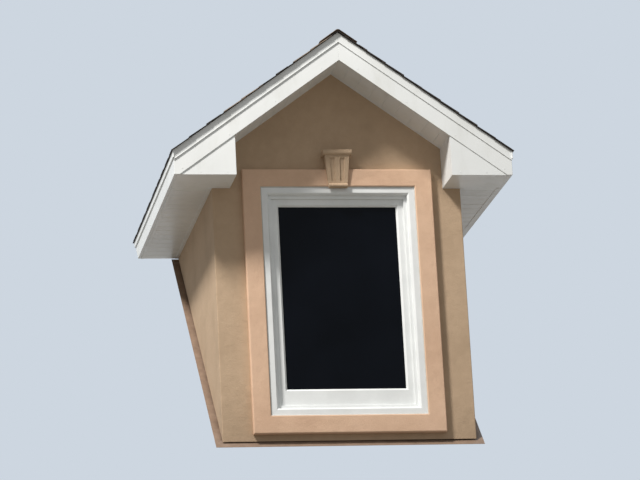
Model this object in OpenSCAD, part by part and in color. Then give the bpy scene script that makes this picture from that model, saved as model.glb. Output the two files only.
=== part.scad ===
// Gabled dormer window with boxed eave returns, set on a steep shingled roof.
// X runs along the main roof, Y runs in towards its ridge and Z is up. The
// origin is on the main roof's deck, in the middle of the front sill plate.
// Heights are taken from the foot of the front wall, where it meets the
// shingles of the main roof.

/* [Main roof] */
// Slope of the main roof that the dormer stands on, in degrees
main_slope = 45; // [42:1:48]
// Thickness of the main roof's shingles, square to its deck
main_cover_t = 12; // [8:1:20]

/* [Walls] */
// Width of wall that shows on each side of the window's band
wall_show = 194; // [150:2:240]
// Depth of the wall studs
stud_d = 89; // [80:1:100]
// Thickness of all framing timber
timber_t = 38; // [34:1:42]
// Thickness of the wall sheathing
sheath_t = 12; // [9:1:18]
// Thickness of the insulated stucco on the walls
stucco_t = 30; // [24:1:40]
// Spacing of studs and rafters, centre to centre
framing_pitch = 406; // [380:1:430]
// Shortest stud worth fitting under the side plates
shortest_stud = 60; // [40:5:100]

/* [Dormer roof] */
// Slope of the dormer's own roof, in degrees
dormer_slope = 36; // [33:1:38]
// Height of the side fascia, from the soffit to the top of the roof deck
fascia_h = 160; // [150:1:180]
// Height of the window's upper edge above the soffits
window_over_eave = 2; // [0:1:30]
// Overhang of the eaves beyond the finished side walls
side_overhang = 280; // [240:5:320]
// Overhang of the gable beyond the finished front wall
front_overhang = 305; // [250:5:350]
// Thickness of the roof deck
deck_t = 12; // [9:1:18]
// Thickness of the roof shingles
shingle_t = 10; // [6:1:14]
// Distance that the shingles reach past the trim at eaves and rakes
shingle_drip = 12; // [8:1:20]
// Width of each side of the ridge cap
cap_w = 150; // [120:5:170]
// Thickness of the ridge cap
cap_t = 6; // [4:1:8]
// Depth of the rafters
rafter_d = 89; // [80:1:95]
// Width of the rafter's seat on the wall plate
birdsmouth_w = 40; // [30:1:45]
// Depth of the ridge board
ridge_d = 140; // [125:1:160]
// Thickness of the valley boards
valley_t = 19; // [16:1:25]
// Width of the valley boards
valley_w = 140; // [120:5:160]

/* [Trim] */
// Thickness of the rake boards and the fascias
board_t = 19; // [15:1:22]
// Depth of the rake boards, square to the roof slope
rake_d = 150; // [140:1:170]
// Depth of the drip edge strip along the top of rakes and fascias
drip_h = 52; // [40:1:60]
// Thickness of the strip on the rake boards
rake_strip_t = 12; // [8:1:16]
// Thickness of the drip edge on the side fascias
eave_strip_t = 6; // [4:1:10]
// Thickness of the soffit panels
soffit_t = 10; // [8:1:14]
// Height of the rake soffit above the rake board's lower edge
rake_reveal = 8; // [4:1:14]
// Distance that each return laps in front of the wall, in from its corner
return_lap = 117; // [90:1:140]
// Thickness of the panels of the returns
return_t = 12; // [10:1:15]
// Setback of the return's front panel behind the rake board
return_setback = 6; // [3:1:7]

/* [Window] */
// Width of the window over its outer moulding
window_w = 1010; // [960:5:1040]
// Height of the window over its outer moulding
window_h = 1505; // [1440:5:1510]
// Height of the window's lower edge above the foot of the wall
window_z = 157; // [152:1:165]
// Distance that the moulding stands in front of the wall
mould_proud = 28; // [20:1:34]
// Width of the outer moulding
mould_w = 50; // [44:1:58]
// Width of the bevel along the moulding's inner edge
mould_bevel = 10; // [6:1:14]
// Width of the frame that shows inside the moulding
jamb_w = 22; // [16:1:26]
// Distance of the frame's face behind the wall face
jamb_back = 2; // [1:0.5:6]
// Width of the sash stiles and top rail that shows
stile_w = 48; // [42:1:54]
// Extra width of the bottom rail
rail_extra = 62; // [40:2:70]
// Depth of the sash
sash_d = 40; // [36:1:44]
// Distance from the wall face back to the sash
sash_back = 18; // [14:1:24]
// Depth of the frame behind the wall face
frame_back = 100; // [95:1:110]
// Distance that sash and moulding reach past the edge that they hold
rabbet = 12; // [8:1:14]
// Distance from the moulding's outer edge to the frame body
mould_lap = 35; // [30:1:38]
// Gap round the window in its rough opening
shim_gap = 12; // [8:1:14]
// Thickness of each pane of the glazing unit
pane_t = 4; // [3:1:5]
// Space between the panes
pane_gap = 12; // [10:1:14]
// Width of the glazing bead's back edge
bead_back_w = 4; // [2:0.5:6]

/* [Window surround] */
// Width of the raised stucco band
band_w = 116; // [100:2:120]
// Distance that the band stands in front of the wall
band_t = 40; // [34:1:50]
// Width of the bevel on the band's edges
band_bevel = 5; // [3:1:8]
// Width of the keystone under its cap
key_top_w = 162; // [150:2:180]
// Width of the keystone at its foot
key_foot_w = 122; // [110:2:140]
// Height of the keystone with its cap
key_h = 250; // [230:2:270]
// Distance that the keystone's foot hangs below the band's inner edge
key_drop = 14; // [8:1:24]
// Distance that the keystone stands in front of the band, under its cap
key_proud = 30; // [24:1:40]
// Distance that the keystone stands in front of the band, above its scroll
key_foot_proud = 12; // [8:1:16]
// Height of the keystone's cap
key_cap_h = 34; // [28:1:40]
// Distance that the cap reaches past the keystone's sides and face
key_cap_out = 14; // [8:1:20]
// Radius of the scroll at the keystone's foot
key_scroll_r = 15; // [12:1:18]
// Distance of each groove from the keystone's middle, at the top
key_groove_x = 18; // [12:1:24]
// Width of each of the two grooves, at the top
key_groove_w = 32; // [24:1:36]
// Depth of the two grooves in the keystone's face
key_groove_d = 6; // [3:1:8]

/* [Flashing] */
// Thickness of the flashing sheet
flash_t = 1.5; // [1:0.1:2]
// Width of the flashing on the roof
flash_out = 76; // [60:2:120]
// Width of the upstand behind the stucco
flash_up = 100; // [80:5:120]
// Gap between the side flashing's top and the soffit
flash_gap = 2; // [1:1:5]

/* [Header] */
// Depth of the header over the window
header_d = 184; // [170:1:200]
// Thickness of the header, two timbers and a spacer
header_t = 89; // [80:1:89]

/* [Hidden] */

// The largest distance that any piece reaches, for cutting blocks
reach = 4000;
// Distance that a cutting shape passes the face that it cuts
cut = 1;
// Faces round the scroll and mouldings of the keystone
$fn = 48;

// Tangents and cosines of the two roof slopes
mt = tan(main_slope);
mc = cos(main_slope);
dt = tan(dormer_slope);
dc = cos(dormer_slope);

// Depths of the front wall's layers, from the middle of the studs forwards
y_frame = -stud_d / 2;
y_sheath = y_frame - sheath_t;
y_wall = y_sheath - stucco_t;
y_front = y_wall - front_overhang;
y_inner = stud_d / 2;

// Half widths of the walls' layers and of the roof
x_wall = window_w / 2 + band_w + wall_show;
return_x = x_wall - return_lap;
x_sheath = x_wall - stucco_t;
x_frame = x_sheath - sheath_t;
x_inner = x_frame - stud_d;
x_roof = x_wall + side_overhang;
x_tail = x_roof - board_t;

// Height of the main roof's deck at a depth y
function deck_at(y) = y * mt;

// Height of the foot of the front wall, on the main roof's shingles
foot = deck_at(y_wall) + main_cover_t / mc;
z_eave = foot + window_z + window_h - window_over_eave;

// Peaks of the dormer roof's layers, at the middle of the gable
peak_deck = z_eave + fascia_h + x_roof * dt;
peak_rafter = peak_deck - deck_t / dc;
peak_rafter_low = peak_rafter - rafter_d / dc;
peak_board_low = peak_deck - rake_d / dc;
peak_soffit = peak_board_low + rake_reveal / dc;

// Height of the wall plates, under the rafters' seats
plate_top = peak_rafter_low - (x_frame - birdsmouth_w) * dt;
plate_low = plate_top - timber_t;

// Underside of the ridge board
ridge_low = peak_rafter - timber_t / 2 * dt - ridge_d;

// The window's outer edges and its rough opening
win_x = window_w / 2;
win_low = foot + window_z;
win_top = win_low + window_h;
rough_x = win_x - mould_lap + shim_gap;
rough_low = win_low + mould_lap - shim_gap;
rough_top = win_top - mould_lap + shim_gap;
sight_w = mould_w + jamb_w;
glass_d = 2 * pane_t + pane_gap;
glass_front = sash_back + rabbet + pane_t;
glass_in = sight_w + stile_w - rabbet;
glass_x = win_x - glass_in;
glass_low = win_low + glass_in + rail_extra;
glass_top = win_top - glass_in;

// Height of the keystone's foot
key_low = win_top - key_drop;
key_neck = key_low + key_h - key_cap_h;

// Valley line on the main roof: distance up the slope at a half width x
function valley_at(x) = (peak_rafter - x * dt) / sin(main_slope) - valley_t / mt;
valley_run = valley_w * sqrt(1 + pow(dt / sin(main_slope), 2));

// Draws a shape given in X and Z, from depth y0 back to depth y1
module along_y(y0, y1) {
    translate([0, y1, 0]) rotate([90, 0, 0]) linear_extrude(y1 - y0) children();
}

// Draws a shape given in Y and Z, from x0 across to x1
module along_x(x0, x1) {
    translate([x0, 0, 0]) rotate([90, 0, 90]) linear_extrude(x1 - x0) children();
}

// Keeps what lies above the main roof, a distance off its deck
module above_roof(off = 0) {
    lift = off / mc;
    intersection() {
        children();
        along_x(-reach, reach)
            polygon([[-reach, deck_at(-reach) + lift],
                     [reach, deck_at(reach) + lift],
                     [reach, 2 * reach], [-reach, 2 * reach]]);
    }
}

// Puts a shape on the main roof's deck: X across, Y up the slope
module on_roof() {
    rotate([main_slope, 0, 0]) children();
}

// Draws the right-hand shape on one side: 1 is right and -1 is left
module side(s) {
    if (s > 0) children();
    else mirror([1, 0, 0]) children();
}

// Strip along the dormer roof's slope between two half widths, with its upper
// line through the given peak and its thickness measured plumb
module slope_strip(peak, plumb_t, x0, x1) {
    polygon([[x0, peak - x0 * dt], [x1, peak - x1 * dt],
             [x1, peak - plumb_t - x1 * dt], [x0, peak - plumb_t - x0 * dt]]);
}

// Rectangle in X and Z
module plate_2d(x0, x1, z0, z1) {
    translate([x0, z0]) square([x1 - x0, z1 - z0]);
}

// Block with the same edge on all four sides, standing on Z = 0 and centred on
// X. The edge is a list of points from front to back, each the distance in
// from the block's outline and the depth behind the wall face.
module edged_block(w, h, edge) {
    last = len(edge) - 1;
    intersection() {
        along_x(-w / 2, w / 2)
            polygon([for (p = edge) [p[1], p[0]],
                     for (i = [last : -1 : 0]) [edge[i][1], h - edge[i][0]]]);
        linear_extrude(h)
            polygon([for (p = edge) [p[0] - w / 2, p[1]],
                     for (i = [last : -1 : 0]) [w / 2 - edge[i][0], edge[i][1]]]);
    }
}

// Frame with mitred corners, between an outer and an inner edge. The bottom
// member is wider than the others by foot.
module mitred_frame(w, h, outer, inner, foot = 0) {
    difference() {
        edged_block(w, h, outer);
        translate([0, 0, foot]) edged_block(w, h - foot, inner);
    }
}

// Framing

module front_sill_plate() {
    color("burlywood") along_x(-x_frame, x_frame)
        polygon([[y_frame, deck_at(y_frame)], [y_inner, deck_at(y_inner)],
                 [y_inner, rough_low], [y_frame, rough_low]]);
}

module side_sole_plates() {
    end_y = (valley_at(x_frame) - valley_run) * mc;
    rise = timber_t / mc;
    color("burlywood") for (s = [-1, 1]) side(s) intersection() {
        along_x(x_inner, x_frame)
            polygon([[y_inner, deck_at(y_inner)], [end_y, deck_at(end_y)],
                     [end_y, deck_at(end_y) + rise], [y_inner, deck_at(y_inner) + rise]]);
        translate([0, -reach, plate_low - reach]) cube([reach, 2 * reach, reach]);
    }
}

module corner_studs() {
    color("burlywood") for (s = [-1, 1]) side(s)
        translate([x_frame - timber_t, y_frame, rough_low])
            cube([timber_t, stud_d, plate_low - rough_low]);
}

module window_studs() {
    color("burlywood") for (s = [-1, 1]) side(s) translate([0, y_frame, rough_low]) {
        translate([rough_x, 0, 0]) cube([timber_t, stud_d, rough_top - rough_low]);
        translate([rough_x + timber_t, 0, 0]) cube([timber_t, stud_d, plate_low - rough_low]);
    }
}

module window_header() {
    half = rough_x + timber_t;
    color("burlywood") translate([-half, y_frame, rough_top])
        cube([2 * half, header_t, header_d]);
}

module header_cripples() {
    low = rough_top + header_d;
    color("burlywood") for (x = [-rough_x, -timber_t / 2, rough_x - timber_t])
        translate([x, y_frame, low]) cube([timber_t, stud_d, plate_low - low]);
}

module front_top_plate() {
    color("burlywood") translate([-x_frame, y_frame, plate_low])
        cube([2 * x_frame, stud_d, timber_t]);
}

module side_top_plates() {
    color("burlywood") for (s = [-1, 1]) side(s) above_roof(valley_t)
        translate([x_inner, y_inner, plate_low]) cube([stud_d, reach, timber_t]);
}

module side_studs() {
    last = (plate_low - shortest_stud - timber_t / mc) / mt;
    starts = [y_inner, for (y = [y_frame + framing_pitch : framing_pitch : last]) y];
    color("burlywood") for (s = [-1, 1]) side(s) above_roof(timber_t) for (y = starts)
        translate([x_inner, y, 0]) cube([stud_d, timber_t, plate_low]);
}

module gable_studs() {
    color("burlywood") intersection() {
        for (x = [-framing_pitch, 0, framing_pitch])
            translate([x - stud_d / 2, y_frame, plate_top]) cube([stud_d, timber_t, reach]);
        along_y(y_frame, y_inner) difference() {
            polygon([[-x_frame, plate_top], [x_frame, plate_top],
                     [x_frame, peak_rafter_low - x_frame * dt], [0, peak_rafter_low],
                     [-x_frame, peak_rafter_low - x_frame * dt]]);
            plate_2d(-timber_t / 2, timber_t / 2, ridge_low, peak_rafter);
        }
    }
}

// One rafter in X and Z, from the ridge board out to its tail
module rafter_2d() {
    difference() {
        slope_strip(peak_rafter, rafter_d / dc, timber_t / 2, x_tail);
        plate_2d(0, x_frame, plate_top - rafter_d, plate_top);
    }
}

module rafters() {
    last = peak_rafter / mt - framing_pitch / 2;
    color("burlywood") above_roof(valley_t)
        for (y = [y_frame : framing_pitch : last]) for (s = [-1, 1]) side(s)
            along_y(y, y + timber_t) rafter_2d();
}

module ridge_board() {
    color("burlywood") above_roof() along_y(y_frame, reach)
        plate_2d(-timber_t / 2, timber_t / 2, ridge_low, ridge_low + ridge_d);
}

module valley_boards() {
    x0 = timber_t / 2;
    color("burlywood") for (s = [-1, 1]) side(s) on_roof() linear_extrude(valley_t)
        polygon([[x0, valley_at(x0)], [x_frame, valley_at(x_frame)],
                 [x_frame, valley_at(x_frame) - valley_run],
                 [x0, valley_at(x0) - valley_run]]);
}

// Sheathing and roof deck

// Outline of a gable wall under a sloping line, down past the main roof
module gable_2d(half, peak) {
    polygon([[-half, -reach], [half, -reach], [half, peak - half * dt],
             [0, peak], [-half, peak - half * dt]]);
}

module front_sheathing() {
    color("tan") above_roof() along_y(y_sheath, y_frame) difference() {
        gable_2d(x_sheath, peak_rafter);
        plate_2d(-rough_x, rough_x, rough_low, rough_top);
    }
}

module side_sheathing(s) {
    top = peak_rafter_low - x_sheath * dt;
    color("tan") side(s) above_roof()
        translate([x_frame, y_frame, -reach]) cube([sheath_t, reach, reach + top]);
}

module roof_deck(s) {
    color("tan") side(s) above_roof() along_y(y_front, reach)
        slope_strip(peak_deck, deck_t / dc, 0, x_roof);
}

// Roof covering

module shingles(s) {
    color("rosybrown") side(s) above_roof(main_cover_t)
        along_y(y_front - rake_strip_t - shingle_drip, reach)
            slope_strip(peak_deck + shingle_t / dc, shingle_t / dc,
                        0, x_roof + eave_strip_t + shingle_drip);
}

module ridge_cap() {
    peak = peak_deck + (shingle_t + cap_t) / dc;
    color("rosybrown") above_roof(main_cover_t)
        along_y(y_front - rake_strip_t - shingle_drip, reach) for (s = [0, 1])
            mirror([s, 0]) slope_strip(peak, cap_t / dc, 0, cap_w * dc);
}

// Trim

module rake_board(s) {
    color("white") side(s) along_y(y_front, y_front + board_t) intersection() {
        slope_strip(peak_rafter, (rake_d - deck_t) / dc, 0, x_roof);
        plate_2d(0, x_roof, z_eave, peak_deck);
    }
}

module rake_strip(s) {
    color("white") side(s) along_y(y_front - rake_strip_t, y_front)
        slope_strip(peak_deck, drip_h / dc, 0, x_roof);
}

module side_fascia(s) {
    color("white") side(s) above_roof(main_cover_t) along_y(y_front + board_t, reach)
        polygon([[x_tail, z_eave], [x_roof, z_eave],
                 [x_roof, peak_rafter - x_roof * dt], [x_tail, peak_rafter - x_tail * dt]]);
}

module eave_drip_edges() {
    top = peak_deck - x_roof * dt;
    color("white") for (s = [-1, 1]) side(s) above_roof(main_cover_t)
        along_y(y_front - rake_strip_t, reach)
            polygon([[x_roof, top], [x_roof + eave_strip_t, top - eave_strip_t * dt],
                     [x_roof + eave_strip_t, top - drip_h], [x_roof, top - drip_h]]);
}

module side_soffit(s) {
    color("white") side(s) above_roof(main_cover_t)
        translate([x_sheath, y_wall, z_eave]) cube([x_tail - x_sheath, reach, soffit_t]);
}

module rake_soffit(s) {
    color("white") side(s) along_y(y_front + board_t, y_sheath)
        slope_strip(peak_soffit + soffit_t / dc, soffit_t / dc, 0, return_x);
}

module eave_return(s) {
    roof_under = peak_board_low;
    color("white") side(s) {
        // Front panel, a triangle under the rake board
        along_y(y_front + return_setback, y_front + board_t) intersection() {
            polygon([[return_x, z_eave], [x_roof, z_eave], [x_roof, roof_under - x_roof * dt],
                     [return_x, roof_under - return_x * dt]]);
            plate_2d(return_x, x_tail, z_eave, peak_deck);
        }
        // Inner end and floor of the box, back to the wall
        along_y(y_front + board_t, y_wall) {
            plate_2d(return_x, x_tail, z_eave, z_eave + return_t);
            slope_strip(peak_soffit + soffit_t / dc, peak_soffit - z_eave - return_x * dt,
                        return_x, return_x + return_t);
        }
    }
}

// Stucco walls and window surround

module front_wall() {
    color("tan") above_roof(main_cover_t) difference() {
        along_y(y_wall, y_sheath) difference() {
            union() {
                gable_2d(return_x, peak_soffit);
                plate_2d(-x_wall, x_wall, -reach, z_eave);
            }
            plate_2d(-win_x, win_x, win_low, win_top);
        }
        apron_flashing();
    }
}

module side_wall(s) {
    color("tan") side(s) above_roof(main_cover_t) difference() {
        translate([x_sheath, y_sheath, -reach]) cube([stucco_t, reach, reach + z_eave]);
        side_flashing();
    }
}

module window_band() {
    w = window_w + 2 * band_w;
    h = window_h + 2 * band_w;
    color("peru") translate([0, y_wall, win_low - band_w])
        mitred_frame(w, h,
            outer = [[band_bevel, -band_t], [0, band_bevel - band_t], [0, 0]],
            inner = [[band_w - band_bevel, -band_t - cut], [band_w - band_bevel, -band_t],
                     [band_w, band_bevel - band_t], [band_w, cut]]);
}

// Face of the keystone above its scroll, moved back by a distance, in Y and Z
module key_side_2d(back = 0) {
    face = y_wall - band_t + back;
    polygon([[y_wall, key_low], [face - key_foot_proud, key_low],
             [face - key_proud, key_neck], [y_wall, key_neck]]);
}

// Front view of a strip of the keystone that narrows with its sides, between
// two shares of its half width, in X and Z
module key_strip_2d(from, to) {
    foot_x = key_foot_w / 2;
    top_x = key_top_w / 2;
    polygon([[from * foot_x, key_low], [to * foot_x, key_low],
             [to * top_x, key_neck], [from * top_x, key_neck]]);
}

// Cap over the keystone: a fillet over a quarter-round moulding
module key_cap() {
    half = key_top_w / 2 + key_cap_out;
    face = y_wall - band_t - key_proud;
    ovolo = key_cap_h / 2;
    along_x(-half, half) union() {
        translate([face - key_cap_out, key_neck + ovolo])
            square([band_t + key_proud + key_cap_out, key_cap_h - ovolo]);
        intersection() {
            translate([face + ovolo - key_cap_out, key_neck + ovolo]) circle(ovolo);
            translate([face - key_cap_out, key_neck]) square([ovolo, ovolo]);
        }
        translate([face + ovolo - key_cap_out, key_neck])
            square([band_t + key_proud + key_cap_out - ovolo, ovolo]);
    }
}

module keystone() {
    groove_top = key_neck - key_cap_h / 2;
    groove_low = key_low + 3 * key_scroll_r;
    groove_in = key_groove_x / (key_top_w / 2);
    groove_out = (key_groove_x + key_groove_w) / (key_top_w / 2);
    color("tan") difference() {
        union() {
            difference() {
                intersection() {
                    along_x(-key_top_w, key_top_w) key_side_2d();
                    along_y(y_wall - reach, y_wall) key_strip_2d(-1, 1);
                }
                for (s = [-1, 1]) side(s) intersection() {
                    along_y(y_wall - reach, y_wall) intersection() {
                        key_strip_2d(groove_in, groove_out);
                        plate_2d(0, key_top_w, groove_low, groove_top);
                    }
                    along_x(0, key_top_w) difference() {
                        key_side_2d(-key_groove_d);
                        key_side_2d(key_groove_d);
                    }
                }
            }
            key_cap();
            translate([-key_foot_w / 2, y_wall - band_t - key_foot_proud, key_low + key_scroll_r])
                rotate([0, 90, 0]) cylinder(h = key_foot_w, r = key_scroll_r);
        }
        translate([-reach, y_wall - band_t, 0])
            cube([2 * reach, reach, win_top + band_w]);
    }
}

// Window

module window_frame() {
    pocket = sight_w - rabbet;
    color("white") translate([0, y_wall, win_low])
        mitred_frame(window_w, window_h,
            outer = [[0, -mould_proud], [0, stucco_t], [mould_lap, stucco_t],
                     [mould_lap, frame_back]],
            inner = [[mould_w - mould_bevel, -mould_proud - cut],
                     [mould_w - mould_bevel, -mould_proud],
                     [mould_w, mould_bevel - mould_proud], [mould_w, jamb_back],
                     [sight_w, jamb_back], [sight_w, sash_back],
                     [pocket, sash_back], [pocket, frame_back + cut]]);
}

module window_sash() {
    out = sight_w - rabbet;
    stile = stile_w + rabbet;
    back = sash_back + sash_d;
    color("white") translate([0, y_wall, win_low + out])
        mitred_frame(window_w - 2 * out, window_h - 2 * out, foot = rail_extra,
            outer = [[0, sash_back], [0, back]],
            inner = [[stile - rabbet, sash_back - cut], [stile - rabbet, sash_back],
                     [stile, sash_back + rabbet], [stile, glass_front],
                     [stile - rabbet, glass_front], [stile - rabbet, back + cut]]);
}

module glazing_bead() {
    front = glass_front + glass_d;
    back = front + rabbet;
    color("white") translate([0, y_wall, glass_low])
        mitred_frame(2 * glass_x, glass_top - glass_low,
            outer = [[0, front], [0, back]],
            inner = [[rabbet, front - cut], [rabbet, front + pane_t],
                     [bead_back_w, back], [bead_back_w, back + cut]]);
}

module glass() {
    color("dimgray") for (y = [0, pane_t + pane_gap])
        translate([-glass_x, y_wall + glass_front + y, glass_low])
            cube([2 * glass_x, pane_t, glass_top - glass_low]);
}

// Flashing

// Sheet bent along the front wall's foot: an upstand behind the stucco and a
// leg on the roof that reaches past the corners
module apron_flashing() {
    leg_x = x_sheath + flash_out;
    color("sienna") {
        translate([-x_sheath, y_sheath - flash_t, deck_at(y_sheath)])
            cube([2 * x_sheath, flash_t, flash_up]);
        on_roof() translate([-leg_x, y_sheath / mc - flash_out, 0])
            cube([2 * leg_x, flash_out, flash_t]);
    }
}

// Sheet bent along one side wall, from the front corner up to the soffit
module side_flashing() {
    intersection() {
        on_roof() along_y(-reach, reach)
            polygon([[x_sheath, 0], [x_sheath + flash_out, 0],
                     [x_sheath + flash_out, flash_t], [x_sheath + flash_t, flash_t],
                     [x_sheath + flash_t, flash_up], [x_sheath, flash_up]]);
        translate([0, y_sheath, -reach])
            cube([reach, 2 * reach, reach + z_eave - flash_gap]);
    }
}

module side_flashings() {
    color("sienna") for (s = [-1, 1]) side(s) side_flashing();
}

front_sill_plate();
side_sole_plates();
corner_studs();
window_studs();
window_header();
header_cripples();
front_top_plate();
side_top_plates();
side_studs();
gable_studs();
rafters();
ridge_board();
valley_boards();
front_sheathing();
side_sheathing(-1);  // side_sheathing_left
side_sheathing(1);  // side_sheathing_right
roof_deck(-1);  // roof_deck_left
roof_deck(1);  // roof_deck_right
shingles(-1);  // shingles_left
shingles(1);  // shingles_right
ridge_cap();
rake_board(-1);  // rake_board_left
rake_board(1);  // rake_board_right
rake_strip(-1);  // rake_strip_left
rake_strip(1);  // rake_strip_right
side_fascia(-1);  // side_fascia_left
side_fascia(1);  // side_fascia_right
eave_drip_edges();
side_soffit(-1);  // side_soffit_left
side_soffit(1);  // side_soffit_right
rake_soffit(-1);  // rake_soffit_left
rake_soffit(1);  // rake_soffit_right
eave_return(-1);  // eave_return_left
eave_return(1);  // eave_return_right
front_wall();
side_wall(-1);  // side_wall_left
side_wall(1);  // side_wall_right
window_band();
keystone();
window_frame();
window_sash();
glazing_bead();
glass();
apron_flashing();
side_flashings();
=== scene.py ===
from math import asin, atan2, copysign, cos, radians, sin, tan
from random import Random

import bmesh
import bpy
from mathutils import Matrix, Vector

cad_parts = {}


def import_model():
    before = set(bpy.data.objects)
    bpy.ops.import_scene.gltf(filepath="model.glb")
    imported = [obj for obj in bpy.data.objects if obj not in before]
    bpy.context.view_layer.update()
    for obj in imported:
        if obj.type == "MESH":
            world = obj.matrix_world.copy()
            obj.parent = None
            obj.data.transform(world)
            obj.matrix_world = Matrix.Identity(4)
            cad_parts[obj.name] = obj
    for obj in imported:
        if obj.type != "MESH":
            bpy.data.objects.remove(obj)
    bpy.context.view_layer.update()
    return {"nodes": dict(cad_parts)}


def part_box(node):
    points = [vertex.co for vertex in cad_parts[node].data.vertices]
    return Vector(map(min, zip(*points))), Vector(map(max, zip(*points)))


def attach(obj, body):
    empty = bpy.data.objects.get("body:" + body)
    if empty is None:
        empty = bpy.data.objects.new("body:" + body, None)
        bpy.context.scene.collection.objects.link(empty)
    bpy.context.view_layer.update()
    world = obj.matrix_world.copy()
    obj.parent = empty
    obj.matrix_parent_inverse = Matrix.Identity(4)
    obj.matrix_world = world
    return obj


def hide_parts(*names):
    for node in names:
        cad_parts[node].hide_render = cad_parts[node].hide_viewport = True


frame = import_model()


# Camera
# A long lens far off, well below the dormer and to its left, looks up at it.
# The slight roll is that of a camera held by hand.
eye = Vector((-3.663, -18.624, -4.09))
looked_at = Vector((-0.045, 0.35, 1.37))
held_up = Vector((0.0135, -0.2141, 0.9767))
view_line = (looked_at - eye).normalized()
across = view_line.cross(held_up).normalized()
camera = bpy.data.objects.new("Camera", bpy.data.cameras.new("Camera"))
camera.data.lens = 172
camera.data.sensor_width = 36
camera.data.clip_end = 2000
camera.matrix_world = Matrix.Translation(eye) @ Matrix(
    (across, across.cross(view_line), -view_line)).transposed().to_4x4()
bpy.context.collection.objects.link(camera)
bpy.context.scene.camera = camera


# Framing
# Sawn softwood, 38 by 89 mm, nailed together before the walls and the roof are
# boarded. The arrises are slightly rounded, and each stick has its own tone,
# grain and knots.
arris = 0.0025
main_slope = radians(45)
dormer_slope = radians(36)
chance = Random(7)


def activate(piece):
    """Leaves one object selected and active."""
    bpy.ops.object.select_all(action="DESELECT")
    piece.select_set(True)
    bpy.context.view_layer.objects.active = piece


def edit(piece):
    """Opens one object in edit mode with nothing in it selected."""
    activate(piece)
    bpy.ops.object.mode_set(mode="EDIT")
    bpy.ops.mesh.select_mode(type="FACE")
    bpy.ops.mesh.select_all(action="DESELECT")


def leave_edit():
    bpy.ops.object.mode_set(mode="OBJECT")


def pick_faces(test):
    """In edit mode, selects the faces whose centre and normal pass a test."""
    mesh = bmesh.from_edit_mesh(bpy.context.edit_object.data)
    for face in mesh.faces:
        face.select_set(bool(test(face.calc_center_median(), face.normal)))
    mesh.select_flush_mode()
    bmesh.update_edit_mesh(bpy.context.edit_object.data)


def copy_of(node, name):
    """Copies a CAD node with its triangles joined into whole faces."""
    piece = bpy.data.objects.new(name, frame["nodes"][node].data.copy())
    piece.data.materials.clear()
    bpy.context.collection.objects.link(piece)
    edit(piece)
    bpy.ops.mesh.select_all(action="SELECT")
    bpy.ops.mesh.customdata_custom_splitnormals_clear()
    bpy.ops.mesh.remove_doubles(threshold=0.00002)
    bpy.ops.mesh.dissolve_limited(angle_limit=radians(0.5))
    leave_edit()
    return piece


def shade(piece):
    """Shades roundings smooth and keeps flat faces flat."""
    activate(piece)
    bpy.ops.object.shade_smooth_by_angle(angle=radians(50))
    weight = piece.modifiers.new("Flat faces stay flat", "WEIGHTED_NORMAL")
    weight.keep_sharp = True
    bpy.ops.object.modifier_apply(modifier=weight.name)


def round_edges(piece, radius, steps=2):
    """Rounds the piece's sharp edges and shades the rounding smooth."""
    activate(piece)
    bevel = piece.modifiers.new("Rounded edges", "BEVEL")
    bevel.width = radius
    bevel.segments = steps
    bevel.angle_limit = radians(20)
    bevel.use_clamp_overlap = True
    bpy.ops.object.modifier_apply(modifier=bevel.name)
    edit(piece)
    bpy.ops.mesh.select_all(action="SELECT")
    bpy.ops.mesh.dissolve_degenerate(threshold=0.00001)
    leave_edit()
    shade(piece)


def islands(mesh):
    """Numbers each face of a mesh by the separate solid that it belongs to."""
    leader = list(range(len(mesh.vertices)))

    def lead(index):
        while leader[index] != index:
            leader[index] = leader[leader[index]]
            index = leader[index]
        return index

    for a, b in mesh.edge_keys:
        leader[lead(a)] = lead(b)
    return [lead(face.vertices[0]) for face in mesh.polygons]


def record(piece, name, domain, values):
    """Keeps a number for each face or point of a piece, for its material to read."""
    layer = piece.data.attributes.new(name, "FLOAT", domain)
    layer.data.foreach_set("value", values)


def give_tones(piece):
    """Gives each separate solid of a piece a tone of its own, from 0 to 1."""
    solids = islands(piece.data)
    tone = {solid: chance.random() for solid in sorted(set(solids))}
    record(piece, "tone", "FACE", [tone[solid] for solid in solids])


def settle(piece, material, slot_name, *nodes):
    """Finishes a piece: its material and the nodes it stands for. Its slot name is not used."""
    piece.data.materials.clear()
    piece.data.materials.append(material)
    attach(piece, "root")
    if nodes:
        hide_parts(*nodes)


def paint(red, green, blue):
    """A colour as it shows on a screen, 0 to 255, made linear."""
    def linear(value):
        share = value / 255
        return share / 12.92 if share <= 0.04045 else ((share + 0.055) / 1.055) ** 2.4
    return linear(red), linear(green), linear(blue), 1


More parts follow.
